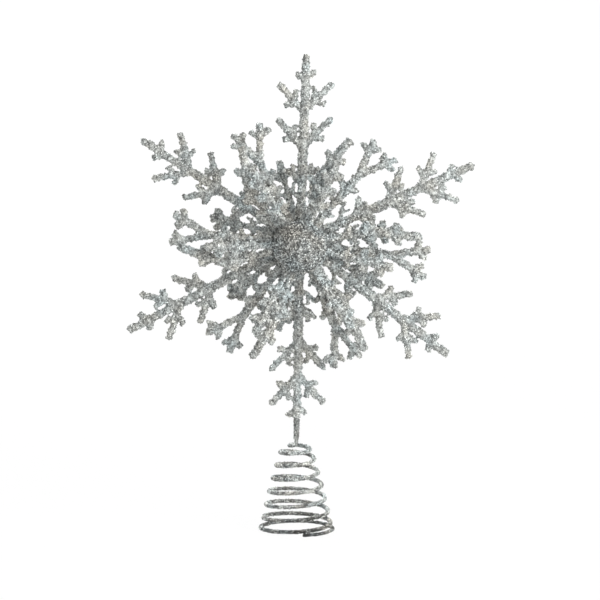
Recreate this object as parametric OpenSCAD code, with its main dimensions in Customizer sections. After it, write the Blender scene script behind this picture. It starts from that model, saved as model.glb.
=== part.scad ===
// Snowflake tree topper: glittered moulded sprays in a hub, carried by a conical wire coil.
// Millimetres, +Z up, front towards -Y. The origin is on the coil's axis, on the surface it stands on.

/* [Wire coil] */
// Diameter of the glittered wire
wire_d = 2.7; // [2:0.1:3.4]
// Outer diameter of the bottom turn
coil_base_d = 54; // [46:1:70]
// Outer diameter of the last full turn
coil_neck_d = 25; // [20:1:34]
// Rise of the coil from the bottom turn to the last full turn
coil_h = 55; // [45:1:80]
// Turns from the cut end to the last full turn
coil_turns = 6.72; // [5.72:1:8.72]
// Bulge of the cone's side, where 1 is a straight side
coil_bulge = 1.3; // [1:0.05:1.6]
// Part of a turn that lies flat on the surface
seat_turn = 0.56; // [0.5:0.02:0.7]
// Depth of the flat on the underside of the bottom turn
seat_flat = 0.5; // [0.3:0.1:0.8]
// Clear height between the cut end and the turn above it
end_gap = 0.3; // [0.2:0.1:1.5]
// Angle of the cut end around the coil, seen from above
end_angle = -79; // [-180:1:180]
// Rise of the turn that closes in to the stem
close_rise = 4.7; // [3.5:0.1:8]
// Radius at which the closing turn bends up into the tang
hook_r = 4.3; // [3.5:0.1:6]
// Rise of the bend into the tang
hook_rise = 3.5; // [2.5:0.1:6]
// Length of the tang inside the bottom long spray
tang_grip = 14; // [8:1:20]

/* [Stem sleeve] */
// Length of the sleeve
sleeve_l = 14; // [8:0.5:24]
// Outer diameter of the sleeve at its lower end
sleeve_low_d = 3.7; // [3.5:0.1:5]
// Outer diameter of the sleeve at its upper end
sleeve_top_d = 4.4; // [3.8:0.1:6]
// Gap between the sleeve and the bottom long spray
turn_gap = 0.3; // [0.2:0.05:0.8]
// Radial clearance of the tang in the sleeve and in the spray
tang_clear = 0.06; // [0.02:0.01:0.15]

/* [Hub and covers] */
// Height of the hub's axis above the surface, along the stem
flake_z = 206.5; // [195:0.5:240]
// Lean of the stem and the snowflake to the right, in degrees
flake_lean = 1; // [0:0.5:3]
// Diameter of the hub
hub_d = 26; // [24:1:34]
// Diameter of the pin that holds the two covers
pin_d = 4; // [3:0.5:5]
// Length of the pin inside each cover
pin_grip = 4; // [3:0.5:4.5]
// Diameter of the domed front cover
dome_d = 38; // [34:1:50]
// Rise of the domed front cover
dome_h = 16; // [10:0.5:20]
// Diameter of the back cover
back_d = 32; // [26:1:40]
// Rise of the back cover
back_h = 6; // [4:0.5:10]
// Wall of both covers
cover_wall = 1.6; // [1:0.1:2.4]
// Clearance between a cover's rim and the sprays next to it
rim_gap = 0.4; // [0.2:0.1:1]

/* [Spray sockets] */
// Diameter of the peg at the root of every spray
peg_d = 3; // [2.4:0.1:3.6]
// Length of the peg
peg_l = 6; // [4:0.5:7]
// Radial clearance of a peg in its socket
peg_clear = 0.05; // [0.02:0.01:0.15]
// Clearance between a spray's shoulder and the hub
root_gap = 0.2; // [0.1:0.1:0.5]
// Clearance between one row of sprays and the next, at the hub
row_gap = 0.6; // [0.3:0.1:1.5]

/* [Long sprays] */
// Reach of a long spray from the hub's axis to its tip, before its extra
long_reach = 132; // [122:1:150]
// Stem diameter of a long spray at the hub
long_root_d = 7.4; // [5.6:0.1:8]
// Stem diameter of a long spray at its tip
long_tip_d = 4.9; // [4:0.1:5.4]
// Distance from the hub's axis to the first pair of short side twigs
long_side_from = 29; // [24:1:32]
// Number of pairs of short side twigs
long_side_pairs = 2; // [1:1:3]
// Length of a short side twig
long_side_l = 16; // [12:0.5:19]
// Distance along a short side twig to its bud
long_side_bud = 8; // [6.5:0.5:10]
// Length of that bud
side_bud_l = 8; // [6:0.5:10]
// Distance from the hub's axis to the inner pair of twigs
long_twig_in = 66; // [62:1:74]
// Distance from the hub's axis to the outer pair of twigs
long_twig_out = 91; // [86:1:98]
// Distance from the tip of a long spray back to its outer pair of buds
long_bud_back = 18; // [14:0.5:22]
// Distance from the lower end of the bottom long spray up to its outer pair of buds
foot_bud_up = 8; // [6:0.5:12]
// Length of a twig
twig_l = 28; // [22:1:32]
// Angle of a twig to its stem
twig_angle = 43; // [35:1:55]
// Distance along a twig to the bud on its outer side
twig_bud_out = 11; // [9:0.5:14]
// Distance along a twig to the bud on its inner side
twig_bud_in = 8.5; // [7:0.5:12]

/* [Fork sprays] */
// Distance from the hub's axis to the fork
fork_node = 65; // [58:1:72]
// Stem diameter of a fork spray at the hub
fork_root_d = 6.2; // [5.4:0.1:7]
// Distance from the hub's axis to the first pair of buds
fork_bud_from = 25; // [22:1:30]
// Length of a tine
tine_l = 29; // [24:1:34]
// Angle of a tine to the line of the fork
tine_angle = 21; // [18:1:30]
// Turn of the fork to the stem, clockwise from the front
fork_bend = 5; // [0:1:12]
// Distance along a tine to its pair of buds
tine_bud = 18.5; // [12:0.5:22]
// Forward tilt of a fork spray
fork_tilt = 5; // [3:1:10]

/* [Finger sprays] */
// Distance from the hub's axis to the knee
knee = 54; // [46:1:62]
// Stem diameter of a finger spray at the hub
finger_root_d = 5.8; // [5.2:0.1:6.6]
// Distance from the hub's axis to the first pair of buds
finger_bud_from = 34; // [27:1:35]
// Length of the finger beyond the knee
finger_l = 34; // [26:1:40]
// Distance along the finger to its pair of buds
finger_bud = 13; // [9:0.5:18]
// Forward tilt of a finger spray
finger_tilt = 10; // [8:1:14]

/* [Short sprays] */
// Reach of a short spray from the hub's axis to its tip
short_reach = 68; // [52:1:70]
// Stem diameter of a short spray at the hub
short_root_d = 5.2; // [4.8:0.1:6]
// Distance from the hub's axis to the first pair of buds
short_bud_from = 31; // [23:1:32]
// Forward tilt of a short spray
short_tilt = 14; // [12:1:24]

/* [Rear sprays] */
// Reach of a rear spray from the hub's axis to its tip, before its extra
rear_reach = 60; // [50:1:64]
// Stem diameter of a rear spray at the hub
rear_root_d = 5.6; // [5:0.1:6.6]
// Distance from the hub's axis to the first pair of buds
rear_bud_from = 31; // [24:1:32]
// Backward tilt of a rear spray
rear_tilt = 6; // [3:1:12]

/* [Twigs and buds] */
// Diameter of a twig, tine or finger at its root
twig_root_d = 4.9; // [4.4:0.1:5.2]
// Diameter of a twig, tine or finger at its blunt tip
twig_tip_d = 4.2; // [3.6:0.1:4.8]
// Length of a bud from the middle of its stem
bud_l = 9; // [7:0.5:11]
// Diameter of a bud at its root
bud_root_d = 4.1; // [3.4:0.1:4.3]
// Diameter of a bud at its blunt tip
bud_tip_d = 3.7; // [3:0.1:4]
// Spacing of the bud pairs along a stem
bud_step = 12; // [10:0.5:16]
// Offset along the stem between the two buds or twigs of a pair
pair_step = 1.6; // [0.8:0.1:3]
// Angle of a bud to its stem
bud_angle = 52; // [40:1:65]
// Length of the rounding at a blunt tip
tip_round = 1; // [0.5:0.1:1.4]
// Extra diameter of a stem where it divides or turns
node_swell = 0.5; // [0.3:0.1:1]

/* [Hidden] */
$fn = 48;
PLACES = ["top", "upper_left", "lower_left", "bottom", "lower_right", "upper_right"];
BOTTOM = 3;
// How far a cut runs past the face that it opens
cut = 1;
KINDS = ["long", "fork", "finger", "short", "rear"];

// Directions of the sprays from the hub's axis, counter-clockwise from the right as seen from the front
long_dirs = [89, 148, 209, 270, 323, 25];
fork_dirs = [117, 175, 233, 294, 354, 51];
finger_dirs = [75, 134, 194, 254, 308, 13];
short_dirs = [68, 122, 179, 243, 304, 350];
rear_dirs = [106, 168, 222, 258, 330, 5];
// Extra stem of each long and rear spray, and the turn of each finger at its knee
long_extra = [1, 0, 4, 5, 0, 1];
rear_extra = [-4, 4, 6, 8, 8, 12];
knee_turns = [22, 35, 33, 16, 13, 17];

// Coil
wire_r = wire_d / 2;
wire_sides = 6;
turn_rings = 24;
base_r = (coil_base_d - wire_d) / 2;
neck_r = (coil_neck_d - wire_d) / 2;
seat_z = wire_r - seat_flat;
lift_turn = seat_turn + 1;
lift_z = (wire_d + end_gap) / (1 - seat_turn);
hook_sweep = 110;
hook_steps = 8;
hook_z = seat_z + coil_h + close_rise;
tang_z = hook_z + hook_rise;
lean_dir = [sin(flake_lean), 0, cos(flake_lean)];

// Stem, measured up the leaning stem from the foot of the tang
sleeve_from = wire_r;
sleeve_to = sleeve_from + sleeve_l;
spray_from = sleeve_to + turn_gap;
tang_to = spray_from + tang_grip;
hub_up = flake_z - tang_z;
tang_hole_d = wire_d + 2 * tang_clear;

// Rows of sockets and ends of the hub, measured forward or, for the rear, back from the long sprays' axis
hub_r = hub_d / 2;
function row_step(back_d, front_d, back_tilt, front_tilt) =
    (back_d + front_d) / 2 + row_gap - hub_r * (tan(front_tilt) - tan(back_tilt));
fork_row = row_step(long_root_d, fork_root_d, 0, fork_tilt);
finger_row = fork_row + row_step(fork_root_d, finger_root_d, fork_tilt, finger_tilt);
short_row = finger_row + row_step(finger_root_d, short_root_d, finger_tilt, short_tilt);
rear_row = row_step(long_root_d, rear_root_d, 0, rear_tilt);
function past_sprays(r, root_d, tilt) = r * tan(tilt) + root_d / 2 / cos(tilt) + rim_gap;
rim_row = short_row + past_sprays(dome_d / 2, short_root_d, short_tilt);
hub_front = rim_row - cover_wall;
hub_back = rear_row + past_sprays(back_d / 2, rear_root_d, rear_tilt);
function shoulder(root_d, tilt) = (hub_r + root_gap) / cos(tilt) + root_d / 2 * tan(tilt);

// Path of the wire: the seat, the cone, the closing turn, the bend and the tang
function coil_radius(t) = t < coil_turns
    ? neck_r + (base_r - neck_r) * (1 - pow(t / coil_turns, coil_bulge))
    : neck_r - (neck_r - hook_r) * pow(t - coil_turns, 2);
function coil_height(t) = seat_z + lookup(t, [
    [0, 0], [seat_turn, 0], [lift_turn, lift_z], [coil_turns, coil_h], [coil_turns + 1, coil_h + close_rise]
]);
function polar(r, angle, z) = [r * cos(angle), r * sin(angle), z];
coil_steps = round((coil_turns + 1) * turn_rings);
coil_points = [
    for (i = [0 : coil_steps])
        let (t = i * (coil_turns + 1) / coil_steps)
        polar(coil_radius(t), end_angle + 360 * t, coil_height(t))
];
hook_points = [
    for (i = [1 : hook_steps])
        let (u = 90 * i / hook_steps)
        polar(
            hook_r * (1 - sin(u)),
            end_angle + 360 * coil_turns + hook_sweep * i / hook_steps,
            hook_z + hook_rise * (1 - cos(u))
        )
];
tang_points = [[0, 0, tang_z] + tang_to * lean_dir];
wire_path = concat(coil_points, hook_points, tang_points);
// Least clear distance between turns of the wire, found on the points of its path
self_gap = min([
    for (i = [0 : len(coil_points) - 1], j = [i + turn_rings / 2 : 1 : len(coil_points) - 1])
        norm(wire_path[i] - wire_path[j]) - wire_d
]);
echo(least_gap_between_turns = self_gap);

// A round section swept along a path, turned as little as possible on the way
function unit(v) = v / norm(v);
function along(path, i) = unit(path[min(i + 1, len(path) - 1)] - path[max(i - 1, 0)]);
function square_to(v, t) = unit(v - (v * t) * t);
module tube(path, r, sides) {
    last = len(path) - 1;
    normals = [
        for (i = 0, n = square_to([0, 0, 1], along(path, 0)); i <= last;
            i = i + 1, n = square_to(n, along(path, min(i, last)))) n
    ];
    points = [
        for (i = [0 : last], k = [0 : sides - 1])
            let (n = normals[i], b = cross(along(path, i), n), a = 360 * (k + 0.5) / sides)
            path[i] + r * (cos(a) * n + sin(a) * b)
    ];
    function at(i, k) = i * sides + k % sides;
    faces = concat(
        [for (k = [1 : sides - 2]) [0, k, k + 1]],
        [for (k = [1 : sides - 2]) [at(last, 0), at(last, k + 1), at(last, k)]],
        [for (i = [0 : last - 1], k = [0 : sides - 1]) [at(i, k), at(i + 1, k), at(i + 1, k + 1)]],
        [for (i = [0 : last - 1], k = [0 : sides - 1]) [at(i, k), at(i + 1, k + 1), at(i, k + 1)]]
    );
    polyhedron(points, faces);
}

// Frames: the foot of the tang, the hub's centre, and one spray's own axis
module on_stem() {
    translate([0, 0, tang_z]) rotate([0, flake_lean, 0]) children();
}
module on_hub() {
    on_stem() translate([0, 0, hub_up]) children();
}
module on_socket(dir, row, tilt) {
    translate([0, -row, 0]) rotate([0, 90 - dir, 0]) rotate([tilt, 0, 0]) children();
}

// A tapered finger with a blunt tip, and the pairs of buds on it
module finger(l, root_d, tip_d) {
    rotate_extrude() polygon([
        [0, 0], [root_d / 2, 0], [tip_d / 2, l - tip_round], [tip_d / 2 - tip_round, l], [0, l]
    ]);
}
module side(at, angle) {
    translate([0, 0, at]) rotate([0, angle, 0]) children();
}
module bud() {
    finger(bud_l, bud_root_d, bud_tip_d);
}
module bud_pair(at) {
    for (s = [-1, 1]) side(at + s * pair_step / 2, s * bud_angle) bud();
}
module bud_row(from, to) {
    for (at = [from : bud_step : to]) bud_pair(at);
}
module twig(s) {
    finger(twig_l, twig_root_d, twig_tip_d);
    side(twig_bud_out, -s * bud_angle) bud();
    side(twig_bud_in, s * bud_angle) bud();
}
module side_twig(s) {
    finger(long_side_l, bud_root_d, bud_tip_d);
    side(long_side_bud, -s * bud_angle) finger(side_bud_l, bud_tip_d, 2 * bud_tip_d - bud_root_d);
}
module stem(from, to, root_d, tip_d) {
    translate([0, 0, from]) finger(to - from, root_d, tip_d);
}
module peg(from) {
    translate([0, 0, from - peg_l]) cylinder(h = peg_l + tip_round, d = peg_d);
}
module socket(from) {
    translate([0, 0, from - peg_l - peg_clear]) cylinder(h = peg_l + hub_r, d = peg_d + 2 * peg_clear);
}
module glitter() {
    color([0.62, 0.64, 0.62]) children();
}

// One spray of each kind, along +Z from the hub's axis
module long_spray(extra, to, bud_back) {
    from = shoulder(long_root_d, 0);
    stem(from, to, long_root_d, long_tip_d);
    peg(from);
    bud_pair(to - bud_back);
    translate([0, 0, extra]) {
        for (i = [0 : long_side_pairs - 1], s = [-1, 1])
            side(long_side_from + i * bud_step + s * pair_step / 2, s * bud_angle) side_twig(s);
        for (at = [long_twig_in, long_twig_out], s = [-1, 1])
            side(at + s * pair_step / 2, s * twig_angle) twig(s);
    }
}
module fork_spray() {
    from = shoulder(fork_root_d, fork_tilt);
    stem(from, fork_node + tip_round, fork_root_d, twig_root_d + node_swell);
    peg(from);
    bud_row(fork_bud_from, fork_node - bud_step);
    for (s = [-1, 1]) side(fork_node - tip_round + s * pair_step / 4, fork_bend + s * tine_angle) {
        finger(tine_l, twig_root_d, twig_tip_d);
        bud_pair(tine_bud);
    }
}
module finger_spray(turn) {
    from = shoulder(finger_root_d, finger_tilt);
    stem(from, knee + tip_round, finger_root_d, twig_root_d + node_swell);
    peg(from);
    bud_row(finger_bud_from, knee - bud_step / 2);
    side(knee - tip_round, turn) {
        finger(finger_l, twig_root_d, twig_tip_d);
        bud_pair(finger_bud);
    }
}
module budded_spray(from, reach, root_d, bud_from) {
    stem(from, reach, root_d, twig_tip_d);
    peg(from);
    bud_row(bud_from, reach - bud_step / 2);
}
module short_spray() {
    budded_spray(shoulder(short_root_d, short_tilt), short_reach, short_root_d, short_bud_from);
}
module rear_spray(extra) {
    budded_spray(shoulder(rear_root_d, rear_tilt), rear_reach + extra, rear_root_d, rear_bud_from);
}

// Sub-parts in place
module coil_spring() {
    color([0.55, 0.57, 0.56]) difference() {
        tube(wire_path, wire_r, wire_sides);
        translate([0, 0, -wire_d]) cylinder(h = wire_d, d = 2 * coil_base_d);
    }
}
module stem_sleeve() {
    glitter() on_stem() translate([0, 0, sleeve_from]) difference() {
        cylinder(h = sleeve_l, d1 = sleeve_low_d, d2 = sleeve_top_d);
        translate([0, 0, -cut]) cylinder(h = sleeve_l + 2 * cut, d = tang_hole_d);
    }
}
module hub() {
    color([0.4, 0.42, 0.42]) on_hub() difference() {
        translate([0, hub_back, 0]) rotate([90, 0, 0]) cylinder(h = hub_back + hub_front, r = hub_r);
        translate([0, hub_back + cut, 0]) rotate([90, 0, 0])
            cylinder(h = hub_back + hub_front + 2 * cut, d = pin_d + 2 * peg_clear);
        for (dir = long_dirs) on_socket(dir, 0, 0) socket(shoulder(long_root_d, 0));
        for (dir = fork_dirs) on_socket(dir, fork_row, fork_tilt) socket(shoulder(fork_root_d, fork_tilt));
        for (dir = finger_dirs)
            on_socket(dir, finger_row, finger_tilt) socket(shoulder(finger_root_d, finger_tilt));
        for (dir = short_dirs)
            on_socket(dir, short_row, short_tilt) socket(shoulder(short_root_d, short_tilt));
        for (dir = rear_dirs)
            on_socket(dir, -rear_row, -rear_tilt) socket(shoulder(rear_root_d, rear_tilt));
    }
}
module centre_pin() {
    color("silver") on_hub() translate([0, hub_back + pin_grip, 0]) rotate([90, 0, 0])
        cylinder(h = hub_back + hub_front + 2 * pin_grip, d = pin_d);
}
module cover(d, h, seat) {
    ball_r = (d * d / 4 + h * h) / (2 * h);
    difference() {
        union() {
            intersection() {
                translate([0, 0, h - ball_r]) difference() {
                    sphere(r = ball_r);
                    sphere(r = ball_r - cover_wall);
                }
                cylinder(h = h, d = d + 2 * cut);
            }
            intersection() {
                translate([0, 0, h - ball_r]) sphere(r = ball_r - cover_wall / 2);
                translate([0, 0, peg_clear - seat]) cylinder(h = h + seat, d = pin_d + 4 * cover_wall);
            }
        }
        translate([0, 0, -seat - cut])
            cylinder(h = cut + pin_grip + 2 * peg_clear, d = pin_d + 2 * peg_clear);
    }
}
module front_dome() {
    glitter() on_hub() translate([0, -rim_row, 0]) rotate([90, 0, 0]) cover(dome_d, dome_h, cover_wall);
}
module back_cover() {
    glitter() on_hub() translate([0, hub_back, 0]) rotate([-90, 0, 0]) cover(back_d, back_h, 0);
}
module long_in_place(i) {
    glitter() on_hub() on_socket(long_dirs[i], 0, 0) {
        if (i == BOTTOM) difference() {
            long_spray(long_extra[i], hub_up - spray_from, foot_bud_up);
            translate([0, 0, hub_up - tang_to - tang_clear])
                cylinder(h = tang_grip + tang_clear + cut, d = tang_hole_d);
        }
        else long_spray(long_extra[i], long_reach + long_extra[i], long_bud_back);
    }
}

coil_spring();
stem_sleeve();
hub();
centre_pin();
front_dome();
back_cover();
for (i = [0 : len(PLACES) - 1]) {
    long_in_place(i);
    glitter() on_hub() on_socket(fork_dirs[i], fork_row, fork_tilt) fork_spray();
    glitter() on_hub() on_socket(finger_dirs[i], finger_row, finger_tilt) finger_spray(knee_turns[i]);
    glitter() on_hub() on_socket(short_dirs[i], short_row, short_tilt) short_spray();
    glitter() on_hub() on_socket(rear_dirs[i], -rear_row, -rear_tilt) rear_spray(rear_extra[i]);
}
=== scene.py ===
"""Glittered snowflake tree topper: branching sprays around a domed centre, on a conical wire coil."""

import math

import bmesh
import bpy
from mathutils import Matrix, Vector


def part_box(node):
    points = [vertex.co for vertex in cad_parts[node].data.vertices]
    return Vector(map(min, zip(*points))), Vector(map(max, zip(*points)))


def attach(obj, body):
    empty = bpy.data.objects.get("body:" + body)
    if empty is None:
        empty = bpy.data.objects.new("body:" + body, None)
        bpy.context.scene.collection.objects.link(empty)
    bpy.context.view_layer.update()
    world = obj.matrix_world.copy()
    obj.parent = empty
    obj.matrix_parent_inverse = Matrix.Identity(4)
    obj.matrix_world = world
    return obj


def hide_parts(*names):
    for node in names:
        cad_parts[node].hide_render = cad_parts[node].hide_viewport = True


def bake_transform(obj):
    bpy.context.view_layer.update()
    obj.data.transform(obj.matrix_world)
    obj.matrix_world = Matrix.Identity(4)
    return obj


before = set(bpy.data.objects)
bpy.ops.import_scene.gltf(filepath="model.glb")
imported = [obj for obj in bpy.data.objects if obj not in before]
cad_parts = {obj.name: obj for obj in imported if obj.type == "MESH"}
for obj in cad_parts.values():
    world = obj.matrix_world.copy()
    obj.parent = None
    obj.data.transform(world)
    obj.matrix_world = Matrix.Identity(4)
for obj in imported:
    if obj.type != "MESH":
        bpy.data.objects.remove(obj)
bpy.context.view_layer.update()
scene = bpy.context.scene
scene.view_settings.view_transform = "Standard"

# Camera
# A long lens in front of the topper and a little above it.
VIEW_RISE = math.radians(11)
VIEW_DISTANCE = 12.0
VIEW_WIDTH = 0.42
VIEW_CENTRE = Vector((0.0026, 0, 0.1644))
SENSOR_WIDTH = 36

toward_camera = Vector((0, -math.cos(VIEW_RISE), math.sin(VIEW_RISE)))
camera = bpy.data.objects.new("camera", bpy.data.cameras.new("camera"))
camera.data.sensor_width = SENSOR_WIDTH
camera.data.lens = SENSOR_WIDTH * VIEW_DISTANCE / VIEW_WIDTH
camera.location = VIEW_CENTRE + VIEW_DISTANCE * toward_camera
camera.rotation_euler = toward_camera.to_track_quat("Z", "Y").to_euler()
scene.collection.objects.link(camera)
scene.camera = camera

# Studio
# A pale sweep that the camera and the glitter both see as white, and that keeps a faint shadow.
# One soft lamp stands near the camera's line and so flattens the light, one lights from the right, and one
# lights the back and the left.
SKY_LIGHT = 0.22
FLOOR_HALF = 6.0
FLOOR_WHITE = 0.9
FLOOR_SHARE = 0.97


def seen_or_mirrored(tree):
    """One where a ray comes from the camera, a mirror or glass, and nought where it only lights."""
    path = tree.nodes.new("ShaderNodeLightPath")
    total = path.outputs["Is Camera Ray"]
    for ray in ("Is Glossy Ray", "Is Transmission Ray"):
        add = tree.nodes.new("ShaderNodeMath")
        add.operation = "MAXIMUM"
        tree.links.new(total, add.inputs[0])
        tree.links.new(path.outputs[ray], add.inputs[1])
        total = add.outputs[0]
    return total


world = bpy.data.worlds.new("white_sweep")
world.use_nodes = True
scene.world = world
sky = world.node_tree.nodes["Background"]
sky.inputs["Color"].default_value = (1, 1, 1, 1)
sky_strength = world.node_tree.nodes.new("ShaderNodeMapRange")
sky_strength.inputs["To Min"].default_value = SKY_LIGHT
world.node_tree.links.new(seen_or_mirrored(world.node_tree), sky_strength.inputs["Value"])
world.node_tree.links.new(sky_strength.outputs["Result"], sky.inputs["Strength"])

for name, place, size, power in (
    ("soft_key", (0.6, -0.5, 0.5), 0.5, 9),
    ("soft_front", (0.15, -1.5, 0.47), 0.5, 16.2),
    ("soft_back", (-0.8, 2.0, 0.8), 1.0, 65),
):
    lamp = bpy.data.objects.new(name, bpy.data.lights.new(name, "AREA"))
    lamp.data.size = size
    lamp.data.energy = power
    lamp.location = place
    lamp.rotation_euler = (Vector(place) - VIEW_CENTRE).to_track_quat("Z", "Y").to_euler()
    scene.collection.objects.link(lamp)

floor_mesh = bpy.data.meshes.new("floor")
floor_mesh.from_pydata(
    [(x * FLOOR_HALF, y * FLOOR_HALF, 0) for x, y in ((-1, -1), (1, -1), (1, 1), (-1, 1))], [], [(0, 1, 2, 3)]
)
floor = bpy.data.objects.new("floor", floor_mesh)
scene.collection.objects.link(floor)
floor_paint = bpy.data.materials.new("floor_white")
floor_paint.use_nodes = True
floor_tree = floor_paint.node_tree
floor_diffuse = floor_tree.nodes["Principled BSDF"]
floor_diffuse.inputs["Base Color"].default_value = (FLOOR_WHITE, FLOOR_WHITE, FLOOR_WHITE, 1)
floor_diffuse.inputs["Roughness"].default_value = 1
floor_glow = floor_tree.nodes.new("ShaderNodeEmission")
floor_mix = floor_tree.nodes.new("ShaderNodeMixShader")
floor_share = floor_tree.nodes.new("ShaderNodeMath")
floor_share.operation = "MULTIPLY"
floor_share.inputs[1].default_value = FLOOR_SHARE
floor_tree.links.new(seen_or_mirrored(floor_tree), floor_share.inputs[0])
floor_tree.links.new(floor_share.outputs[0], floor_mix.inputs["Fac"])
floor_tree.links.new(floor_diffuse.outputs["BSDF"], floor_mix.inputs[1])
floor_tree.links.new(floor_glow.outputs["Emission"], floor_mix.inputs[2])
floor_tree.links.new(floor_mix.outputs["Shader"], floor_tree.nodes["Material Output"].inputs["Surface"])
floor_mesh.materials.append(floor_paint)

# Coil spring
# One spring steel wire, wound into a cone, closed in and bent up into the tang that carries the flake.
# It is dipped in glue and rolled in fine silver glitter, all but the sawn end at the front; that end and the
# coil's foot are also painted darker, as painted shade.
# The wire, and the flat underneath it that leaves room for its glitter
WIRE_R = 0.0014
WIRE_SIDES = 3
WIRE_FOOT = 0.0003
# The cone that it winds, measured to the middle of the wire
BASE_R = 0.02565
NECK_R = 0.01115
COIL_RISE = 0.055
COIL_TURNS = 6.72
COIL_BULGE = 1.3
# The sawn end, lifted a little, the level part that the coil stands on, and the climb in the turn after it
END_ANGLE = math.radians(-79)
END_LIFT = 0.0006
END_TURN = 0.14
SEAT_Z = 0.00085
SEAT_TURN = 0.56
LIFT = 0.00682
# The closing turn, the bend up at the axis and the leaning tang
CLOSE_RISE = 0.0047
HOOK_R = 0.0043
HOOK_RISE = 0.0035
HOOK_SWEEP = math.radians(110)
TANG_L = 0.0165
LEAN = math.radians(1)
# How finely the wire's path is drawn, in points to a turn and to the bend
TURN_STEPS = 48
HOOK_STEPS = 12
# Painted shade: near the sawn end and near the foot most grains are painted darker, and only the brightest
# keep their sheen.
BARE_AND_SHADE_L = 0.03
BARE_AND_SHADE_SHEEN = 0.15
FOOT_SHADE_Z = 0.018
FOOT_SHADE_SHEEN = 0.6
# Grains of glitter, each turned and stretched by chance, in a bed of glue that shines less than they do.
CROWDING = 2.5
GRAIN_TURN = (6.28, 6.28, 6.28)
GRAIN_LEAST = (0.7, 0.7, 0.5)
GRAIN_MOST = (1.3, 1.3, 1.1)
# Partly painted shade: the glue bed is duller than the grains, and its darker grey also stands for shade in
# the gaps between them.
BED_SHEEN = 0.6
GLOSS_RANGE = (0.1, 0.5)
# Tint and shade drift over the whole topper, and the greys grow more even away from the hub.
TINT_SCALE = 70
TINT_DRIFT = [(0.3, (0.9, 1.0, 1.0)), (0.5, (0.965, 1.0, 0.965)), (0.7, (1.0, 0.985, 0.9))]
SHADE_SCALE = 220
SHADE_DRIFT = [(0.35, (0.72, 0.72, 0.72)), (0.65, (1.0, 1.0, 1.0))]
HUB_CENTRE = (0.0025, 0, 0.2065)
TIP_TONE = (0.34, 0.35, 0.34, 1)
EVEN_FROM = 0.04
EVEN_TO = 0.11


def coil_radius(turn):
    """How far the wire is from the coil's axis, by the number of turns from its sawn end."""
    if turn < COIL_TURNS:
        return NECK_R + (BASE_R - NECK_R) * (1 - (turn / COIL_TURNS) ** COIL_BULGE)
    return NECK_R - (NECK_R - HOOK_R) * (turn - COIL_TURNS) ** 2


def coil_height(turn):
    """How high the middle of the wire is: lifted at its end, level on its seat, then climbing."""
    stops = [
        (0, END_LIFT), (END_TURN, 0), (SEAT_TURN, 0), (SEAT_TURN + 1, LIFT),
        (COIL_TURNS, COIL_RISE), (COIL_TURNS + 1, COIL_RISE + CLOSE_RISE),
    ]
    for (t0, z0), (t1, z1) in zip(stops, stops[1:]):
        if turn <= t1:
            return SEAT_Z + z0 + (z1 - z0) * (turn - t0) / (t1 - t0)
    return SEAT_Z + stops[-1][1]


def polar(radius, angle, z):
    """A point around the coil's axis."""
    return Vector((radius * math.cos(angle), radius * math.sin(angle), z))


def wire_points():
    """Points along the middle of the wire: its turns, its bend up at the axis and the end of its tang."""
    steps = round((COIL_TURNS + 1) * TURN_STEPS)
    for i in range(steps + 1):
        turn = (COIL_TURNS + 1) * i / steps
        yield polar(coil_radius(turn), END_ANGLE + 2 * math.pi * turn, coil_height(turn))
    hook_z = SEAT_Z + COIL_RISE + CLOSE_RISE
    for i in range(1, HOOK_STEPS + 1):
        bend = math.pi / 2 * i / HOOK_STEPS
        angle = END_ANGLE + 2 * math.pi * COIL_TURNS + HOOK_SWEEP * i / HOOK_STEPS
        yield polar(HOOK_R * (1 - math.sin(bend)), angle, hook_z + HOOK_RISE * (1 - math.cos(bend)))
    yield Vector((0, 0, hook_z + HOOK_RISE)) + TANG_L * Vector((math.sin(LEAN), 0, math.cos(LEAN)))


def plain_mesh(obj, name):
    """The object as its modifiers leave it, as one plain mesh object in its place."""
    graph = bpy.context.evaluated_depsgraph_get()
    mesh = bpy.data.meshes.new_from_object(obj.evaluated_get(graph), depsgraph=graph)
    bpy.data.objects.remove(obj)
    mesh.name = name
    made = bpy.data.objects.new(name, mesh)
    scene.collection.objects.link(made)
    return made


def geometry_tree(name, inputs):
    """An empty Geometry Nodes tree with named inputs, and a short way to add nodes that are fed by others."""
    tree = bpy.data.node_groups.new(name, "GeometryNodeTree")
    tree.is_modifier = True
    tree.interface.new_socket("Geometry", in_out="INPUT", socket_type="NodeSocketGeometry")
    for label, kind in inputs:
        tree.interface.new_socket(label, in_out="INPUT", socket_type="NodeSocket" + kind)
    tree.interface.new_socket("Geometry", in_out="OUTPUT", socket_type="NodeSocketGeometry")

    def add(kind, feeds=None, **settings):
        """The outputs of a new node, whose inputs take plain values or the outputs of other nodes."""
        node = tree.nodes.new(kind)
        for key, value in settings.items():
            setattr(node, key, value)
        for slot, value in (feeds or {}).items():
            for source in value if isinstance(value, list) else [value]:
                if isinstance(source, bpy.types.NodeSocket):
                    tree.links.new(source, node.inputs[slot])
                else:
                    node.inputs[slot].default_value = source
        return node.outputs

    def maths(operation, a, b):
        """The result of a sum with two terms."""
        return add("ShaderNodeMath", {0: a, 1: b}, operation=operation)[0]

    return tree, add("NodeGroupInput"), add, maths


def moved_out(add, geometry, distance):
    """The geometry with its surface moved outward by a distance."""
    normal = add("GeometryNodeInputNormal")["Normal"]
    offset = add("ShaderNodeVectorMath", {0: normal, "Scale": distance}, operation="SCALE")["Vector"]
    return add("GeometryNodeSetPosition", {"Geometry": geometry, "Offset": offset})["Geometry"]


def finished(tree, add, parts, finish):
    """The parts made real, joined and coated, as what the tree gives."""
    joined = add("GeometryNodeJoinGeometry", {"Geometry": parts})["Geometry"]
    real = add("GeometryNodeRealizeInstances", {"Geometry": joined})["Geometry"]
    coated = add("GeometryNodeSetMaterial", {"Geometry": real, "Material": finish})["Geometry"]
    add("NodeGroupOutput", {"Geometry": coated})
    return tree


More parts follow.
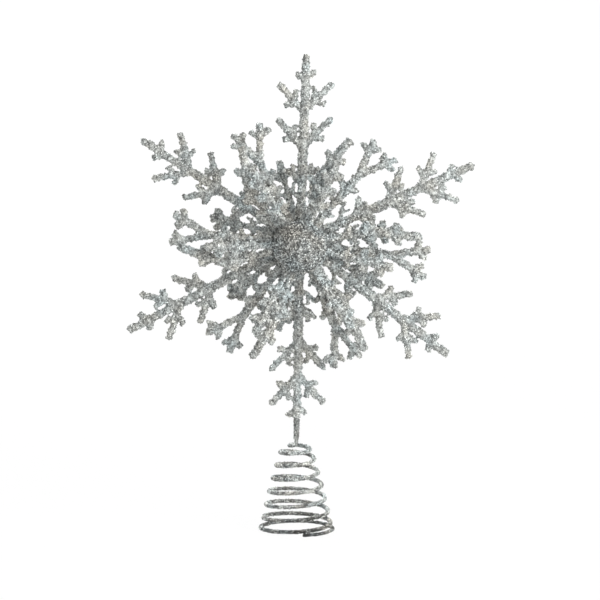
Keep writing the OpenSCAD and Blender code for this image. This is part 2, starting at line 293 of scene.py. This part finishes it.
def glitter_crust():
    """Nodes that roughen a surface of glue and roll it in grains of glitter."""
    tree, given, add, maths = geometry_tree("glitter_crust", (
        ("Grain Size", "Float"), ("Grain Spacing", "Float"), ("Glue Depth", "Float"),
        ("Lump Height", "Float"), ("Lump Size", "Float"), ("Seed", "Int"), ("Finish", "Material"),
    ))
    lump = add("ShaderNodeTexNoise", {"Scale": maths("DIVIDE", 1, given["Lump Size"]), "Detail": 1})["Fac"]
    swell = maths("MULTIPLY", maths("SUBTRACT", lump, 0.5), given["Lump Height"])
    glue = moved_out(add, given["Geometry"], maths("SUBTRACT", swell, given["Glue Depth"]))
    scatter = add("GeometryNodeDistributePointsOnFaces", {
        "Mesh": glue, "Distance Min": given["Grain Spacing"],
        "Density Max": maths("DIVIDE", CROWDING, maths("POWER", given["Grain Spacing"], 2)),
        "Seed": given["Seed"],
    }, distribute_method="POISSON")["Points"]
    turn = add("FunctionNodeRandomValue", {
        "Max": GRAIN_TURN, "Seed": given["Seed"],
    }, data_type="FLOAT_VECTOR")
    spread = add("FunctionNodeRandomValue", {
        "Min": GRAIN_LEAST, "Max": GRAIN_MOST, "Seed": given["Seed"],
    }, data_type="FLOAT_VECTOR")
    scale = add("ShaderNodeVectorMath", {
        0: spread["Value"], "Scale": maths("MULTIPLY", given["Grain Size"], 0.5),
    }, operation="SCALE")["Vector"]
    grain = add("GeometryNodeMeshUVSphere", {"Segments": 4, "Rings": 2})["Mesh"]
    flat_grain = add("GeometryNodeSetShadeSmooth", {"Geometry": grain, "Shade Smooth": False})["Geometry"]
    placed = add("GeometryNodeInstanceOnPoints", {
        "Points": scatter, "Instance": flat_grain, "Rotation": turn["Value"], "Scale": scale,
    })["Instances"]
    sheen = add("FunctionNodeRandomValue", {"Seed": given["Seed"]}, data_type="FLOAT")["Value"]
    grains = add("GeometryNodeStoreNamedAttribute", {
        "Geometry": placed, "Name": "sheen", "Value": sheen,
    }, data_type="FLOAT", domain="INSTANCE")["Geometry"]
    cells = add("ShaderNodeTexVoronoi", {"Scale": maths("DIVIDE", 1, given["Grain Size"])})["Color"]
    bed = add("GeometryNodeStoreNamedAttribute", {
        "Geometry": glue, "Name": "sheen", "Value": maths("MULTIPLY", cells, BED_SHEEN),
    }, data_type="FLOAT", domain="POINT")["Geometry"]
    smooth_bed = add("GeometryNodeSetShadeSmooth", {"Geometry": bed})["Geometry"]
    return finished(tree, add, [smooth_bed, grains], given["Finish"])


crust_tree = glitter_crust()


def add_nodes(obj, tree, sizes):
    """Give an object a tree of nodes, with the tree's inputs set by their names."""
    layer = obj.modifiers.new(tree.name, "NODES")
    layer.node_group = tree
    for item in tree.interface.items_tree:
        if item.in_out == "INPUT" and item.name in sizes:
            layer[item.identifier] = sizes[item.name]


def rolled_in_glitter(obj, name, **sizes):
    """The object under its crust of glitter, as a plain mesh."""
    add_nodes(obj, crust_tree, sizes)
    return plain_mesh(obj, name)


def set_stops(ramp, stops):
    """Give a colour ramp its stops, as pairs of position and colour."""
    ramp.elements[0].position, ramp.elements[1].position = stops[0][0], stops[-1][0]
    for position, _ in stops[1:-1]:
        ramp.elements.new(position)
    for element, (position, colour) in zip(ramp.elements, stops):
        element.color = (*colour, 1)


def greys(*stops):
    """Stops of a ramp, given as pairs of position and grey."""
    return [(position, (tone, tone, tone)) for position, tone in stops]


def silver_glitter(name, tones, rough_range, mirror_range, even):
    """Flakes of silvered film, each with a painted grey that stands for what it reflects, whose tint and
    shade drift from place to place.

    Towards the flake's tips the greys come closer to each other, by the share that even gives.
    """
    paint = bpy.data.materials.new(name)
    paint.use_nodes = True
    tree = paint.node_tree
    shader = tree.nodes["Principled BSDF"]
    sheen = tree.nodes.new("ShaderNodeAttribute")
    sheen.attribute_name = "sheen"
    # Painted reflection: each grain's grey, from its chance sheen, stands for what the flake mirrors, dark
    # for a dark room and light for a lamp.
    colour = tree.nodes.new("ShaderNodeValToRGB")
    set_stops(colour.color_ramp, tones)
    tree.links.new(sheen.outputs["Fac"], colour.inputs["Fac"])
    colour = colour.outputs["Color"]
    where = tree.nodes.new("ShaderNodeTexCoord")
    for scale, stops in ((TINT_SCALE, TINT_DRIFT), (SHADE_SCALE, SHADE_DRIFT)):
        drift = tree.nodes.new("ShaderNodeTexNoise")
        drift.inputs["Scale"].default_value = scale
        tree.links.new(where.outputs["Object"], drift.inputs["Vector"])
        look = tree.nodes.new("ShaderNodeValToRGB")
        set_stops(look.color_ramp, stops)
        tree.links.new(drift.outputs["Fac"], look.inputs["Fac"])
        mix = tree.nodes.new("ShaderNodeMix")
        mix.data_type = "RGBA"
        mix.blend_type = "MULTIPLY"
        mix.inputs["Factor"].default_value = 1
        tree.links.new(colour, mix.inputs["A"])
        tree.links.new(look.outputs["Color"], mix.inputs["B"])
        colour = mix.outputs["Result"]
    apart = tree.nodes.new("ShaderNodeVectorMath")
    apart.operation = "DISTANCE"
    tree.links.new(where.outputs["Object"], apart.inputs[0])
    apart.inputs[1].default_value = HUB_CENTRE
    share = tree.nodes.new("ShaderNodeMapRange")
    for slot, value in (("From Min", EVEN_FROM), ("From Max", EVEN_TO), ("To Max", even)):
        share.inputs[slot].default_value = value
    tree.links.new(apart.outputs["Value"], share.inputs["Value"])
    mix = tree.nodes.new("ShaderNodeMix")
    mix.data_type = "RGBA"
    tree.links.new(share.outputs["Result"], mix.inputs["Factor"])
    tree.links.new(colour, mix.inputs["A"])
    mix.inputs["B"].default_value = TIP_TONE
    tree.links.new(mix.outputs["Result"], shader.inputs["Base Color"])
    for slot, (low, high) in (
        ("Roughness", rough_range), ("Metallic", mirror_range), ("Specular IOR Level", GLOSS_RANGE),
    ):
        level = tree.nodes.new("ShaderNodeMapRange")
        level.inputs["To Min"].default_value = low
        level.inputs["To Max"].default_value = high
        tree.links.new(sheen.outputs["Fac"], level.inputs["Value"])
        tree.links.new(level.outputs["Result"], shader.inputs[slot])
    return paint


wire_silver = silver_glitter(
    "wire_glitter", greys((0.0, 0.03), (0.3, 0.19), (0.6, 0.62), (1.0, 1.0)),
    rough_range=(0.55, 0.35), mirror_range=(0.1, 0.8), even=0,
)
points = list(wire_points())
wire_curve = bpy.data.curves.new("wire", "CURVE")
wire_curve.dimensions = "3D"
wire_curve.bevel_depth = WIRE_R
wire_curve.bevel_resolution = WIRE_SIDES
wire_curve.use_fill_caps = True
wire_line = wire_curve.splines.new("POLY")
wire_line.points.add(len(points) - 1)
for point, place in zip(wire_line.points, points):
    point.co = (*place, 1)
wire = bpy.data.objects.new("wire", wire_curve)
scene.collection.objects.link(wire)
wire = plain_mesh(wire, "wire")
for vertex in wire.data.vertices:
    vertex.co.z = max(vertex.co.z, WIRE_FOOT)
coil = rolled_in_glitter(
    wire, "glittered_coil",
    **{"Grain Size": 0.001, "Grain Spacing": 0.00075, "Glue Depth": 0.0001, "Lump Height": 0.0004,
       "Lump Size": 0.002, "Seed": 3, "Finish": wire_silver},
)
# Painted shade: grains near the sawn end and near the floor are darkened, so the lowest turns look shaded.
for vertex, sheen in zip(coil.data.vertices, coil.data.attributes["sheen"].data):
    vertex.co.z = max(vertex.co.z, 0.0)
    bare_and_shade = min(1, BARE_AND_SHADE_SHEEN + (vertex.co - points[0]).length / BARE_AND_SHADE_L)
    foot_shade = min(1, FOOT_SHADE_SHEEN + (1 - FOOT_SHADE_SHEEN) * vertex.co.z / FOOT_SHADE_Z)
    sheen.value **= 1 / (bare_and_shade * foot_shade)
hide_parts("coil_spring")
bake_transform(coil)

# Sprays
# Moulded plastic twigs that branch like coral, in five kinds that press into the hub in five rows.
# Each is dipped in glue and rolled in coarse silver glitter, which sets in lumps.
PLACES = ("top", "upper_left", "lower_left", "bottom", "lower_right", "upper_right")
# How far the stems of each kind are drawn in, or out below nought, before the glue goes on
INSETS = {"long": 0.0003, "fork": 0.0002, "finger": -0.0003, "short": -0.0003, "rear": -0.0003}
# The ring around the hub where the stems are thinnest: its radius, half its width and where it has faded
ROOT_R = 0.036
ROOT_HALF = 0.004
ROOT_FADE = 0.013
# The smallest and largest bead of glue, as shares of the usual one, and the fineness of the skin over them
BEAD_LEAST = 0.65
BEAD_MOST = 1.2
VOXEL = 0.0007
MERGE_GAP = 1e-6
# The room that is left between the bottom arm and the sleeve, which turn on each other
TURN_GAP = 0.0001


def glue_beads():
    """Nodes that draw a surface in, most of all along the roots, and set beads of glue on it in clumps."""
    tree, given, add, maths = geometry_tree("glue_beads", (
        ("Inset", "Float"), ("Root Inset", "Float"), ("Root Share", "Float"), ("Bead Size", "Float"),
        ("Bead Spacing", "Float"), ("Clump Size", "Float"), ("Clump Share", "Float"), ("Seed", "Int"),
        ("Finish", "Material"),
    ))

    def along_root(at_root, elsewhere):
        """One value in the ring of the roots, which fades to another outside it."""
        place = add("GeometryNodeInputPosition")["Position"]
        apart = add("ShaderNodeVectorMath", {0: place, 1: HUB_CENTRE}, operation="DISTANCE")["Value"]
        return add("ShaderNodeMapRange", {
            "Value": maths("ABSOLUTE", maths("SUBTRACT", apart, ROOT_R), 0),
            "From Min": ROOT_HALF, "From Max": ROOT_FADE, "To Min": at_root, "To Max": elsewhere,
        })["Result"]

    inset = along_root(given["Root Inset"], given["Inset"])
    core = moved_out(add, given["Geometry"], maths("MULTIPLY", inset, -1))
    clump = add("ShaderNodeTexNoise", {"Scale": maths("DIVIDE", 1, given["Clump Size"]), "Detail": 0})["Fac"]
    scatter = add("GeometryNodeDistributePointsOnFaces", {
        "Mesh": core, "Selection": maths("LESS_THAN", clump, given["Clump Share"]),
        "Distance Min": given["Bead Spacing"],
        "Density Max": maths("DIVIDE", CROWDING, maths("POWER", given["Bead Spacing"], 2)),
        "Seed": given["Seed"],
    }, distribute_method="POISSON")["Points"]
    spread = add("FunctionNodeRandomValue", {
        "Min": BEAD_LEAST, "Max": BEAD_MOST, "Seed": given["Seed"],
    }, data_type="FLOAT")["Value"]
    size = maths("MULTIPLY", given["Bead Size"], along_root(given["Root Share"], 1))
    beads = add("GeometryNodeInstanceOnPoints", {
        "Points": scatter, "Instance": add("GeometryNodeMeshIcoSphere", {"Subdivisions": 2})["Mesh"],
        "Scale": maths("MULTIPLY", maths("MULTIPLY", spread, size), 0.5),
    })["Instances"]
    return finished(tree, add, [core, beads], given["Finish"])


def solid_copy(node, name):
    """A copy of a piece's solid, with the doubled points along its edges merged."""
    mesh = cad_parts[node].data.copy()
    melt = bmesh.new()
    melt.from_mesh(mesh)
    bmesh.ops.remove_doubles(melt, verts=melt.verts, dist=MERGE_GAP)
    melt.to_mesh(mesh)
    melt.free()
    mesh.materials.clear()
    body = bpy.data.objects.new(name, mesh)
    scene.collection.objects.link(body)
    return body


def trim(piece, low=-math.inf, high=math.inf):
    """Flatten what stands out below or above a piece, where it turns on its neighbour."""
    for vertex in piece.data.vertices:
        vertex.co.z = min(max(vertex.co.z, low), high)


def melted(body, voxel):
    """The same object with everything on it run together into one soft skin."""
    skin = body.modifiers.new("skin", "REMESH")
    skin.mode = "VOXEL"
    skin.voxel_size = voxel
    return body


beads_tree = glue_beads()
spray_silver = silver_glitter(
    "spray_glitter", greys((0.0, 0.05), (0.25, 0.21), (0.55, 0.5), (1.0, 0.68)),
    rough_range=(0.55, 0.45), mirror_range=(0.2, 0.6), even=0.18,
)
for kind_number, kind in enumerate(INSETS):
    for place_number, place in enumerate(PLACES):
        node = f"{kind}_{place}"
        seed = 10 * kind_number + place_number
        core = solid_copy(node, node + "_core")
        add_nodes(core, beads_tree, {
            "Inset": INSETS[kind], "Root Inset": 0.0008, "Root Share": 0.8, "Bead Size": 0.0026,
            "Bead Spacing": 0.0022, "Clump Size": 0.012, "Clump Share": 0.75, "Seed": seed,
            "Finish": spray_silver,
        })
        spray = rolled_in_glitter(
            melted(core, VOXEL), node + "_spray",
            **{"Grain Size": 0.0013, "Grain Spacing": 0.00095, "Glue Depth": 0.0002, "Lump Height": 0.0006,
               "Lump Size": 0.002, "Seed": seed, "Finish": spray_silver},
        )
        if node == "long_bottom":
            trim(spray, low=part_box(node)[0][2] + TURN_GAP)
        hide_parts(node)
        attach(spray, "head")

# Covers and sleeve
# Thin plastic shells over the front and back of the hub, held together by the pin, and a plastic sleeve on
# the tang. They are coated all over in glue and rolled in finer glitter.


def close_back(body):
    """Close the hollow of a cover, so that no dark gap shows behind its rim."""
    cap = bmesh.new()
    for vertex in body.data.vertices:
        cap.verts.new(vertex.co)
    bmesh.ops.convex_hull(cap, input=cap.verts)
    bmesh.ops.delete(cap, geom=[vertex for vertex in cap.verts if not vertex.link_faces], context="VERTS")
    cap.to_mesh(body.data)
    cap.free()


cover_silver = silver_glitter(
    "cover_glitter", greys((0.0, 0.02), (0.3, 0.135), (0.65, 0.43), (1.0, 0.74)),
    rough_range=(0.55, 0.45), mirror_range=(0.2, 0.6), even=0,
)
for node, slot, body, bead, grain, seed in (
    ("front_dome", "glitter_cover", "head", 0.0024, 0.0013, 51),
    ("back_cover", "glitter_cover", "head", 0.0024, 0.0013, 52),
    ("stem_sleeve", "glitter_sleeve", "stem", 0.001, 0.0008, 53),
):
    core = solid_copy(node, node + "_core")
    if slot == "glitter_cover":
        close_back(core)
    add_nodes(core, beads_tree, {
        "Inset": 0.25 * bead, "Root Inset": 0.25 * bead, "Root Share": 1.0, "Bead Size": bead,
        "Bead Spacing": 0.8 * bead, "Clump Size": 0.01, "Clump Share": 1.0, "Seed": seed,
        "Finish": cover_silver,
    })
    shell = rolled_in_glitter(
        melted(core, grain / 2), node + "_glittered",
        **{"Grain Size": grain, "Grain Spacing": 0.7 * grain, "Glue Depth": 0.15 * grain,
           "Lump Height": 0.3 * grain, "Lump Size": 2 * grain, "Seed": seed, "Finish": cover_silver},
    )
    if node == "stem_sleeve":
        trim(shell, high=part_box(node)[1][2] - TURN_GAP)
    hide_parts(node)
    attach(shell, body)

# Hub and pin
# The grey moulded core that holds every spray's peg, dusted with stray glitter, and the drawn steel pin
# that runs through it and holds the two covers.


def dusted_finish(name, tones, metallic, roughness, grain_size):
    """A plain finish that has caught stray grains of glitter, cell by cell."""
    paint = bpy.data.materials.new(name)
    paint.use_nodes = True
    tree = paint.node_tree
    shader = tree.nodes["Principled BSDF"]
    shader.inputs["Metallic"].default_value = metallic
    shader.inputs["Roughness"].default_value = roughness
    where = tree.nodes.new("ShaderNodeTexCoord")
    cells = tree.nodes.new("ShaderNodeTexVoronoi")
    cells.inputs["Scale"].default_value = 1 / grain_size
    tree.links.new(where.outputs["Object"], cells.inputs["Vector"])
    shade = tree.nodes.new("ShaderNodeValToRGB")
    set_stops(shade.color_ramp, tones)
    tree.links.new(cells.outputs["Color"], shade.inputs["Fac"])
    tree.links.new(shade.outputs["Color"], shader.inputs["Base Color"])
    return paint


hub_grey = dusted_finish(
    "hub_grey", greys((0.3, 0.1), (0.5, 0.18), (0.75, 0.42)), metallic=0.0, roughness=0.85, grain_size=0.0012,
)
drawn_steel = dusted_finish(
    "drawn_steel", greys((0.0, 0.5), (1.0, 0.65)), metallic=1.0, roughness=0.35, grain_size=0.0004,
)
for node, paint in (("hub", hub_grey), ("centre_pin", drawn_steel)):
    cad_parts[node].data.materials.clear()
    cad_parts[node].data.materials.append(paint)
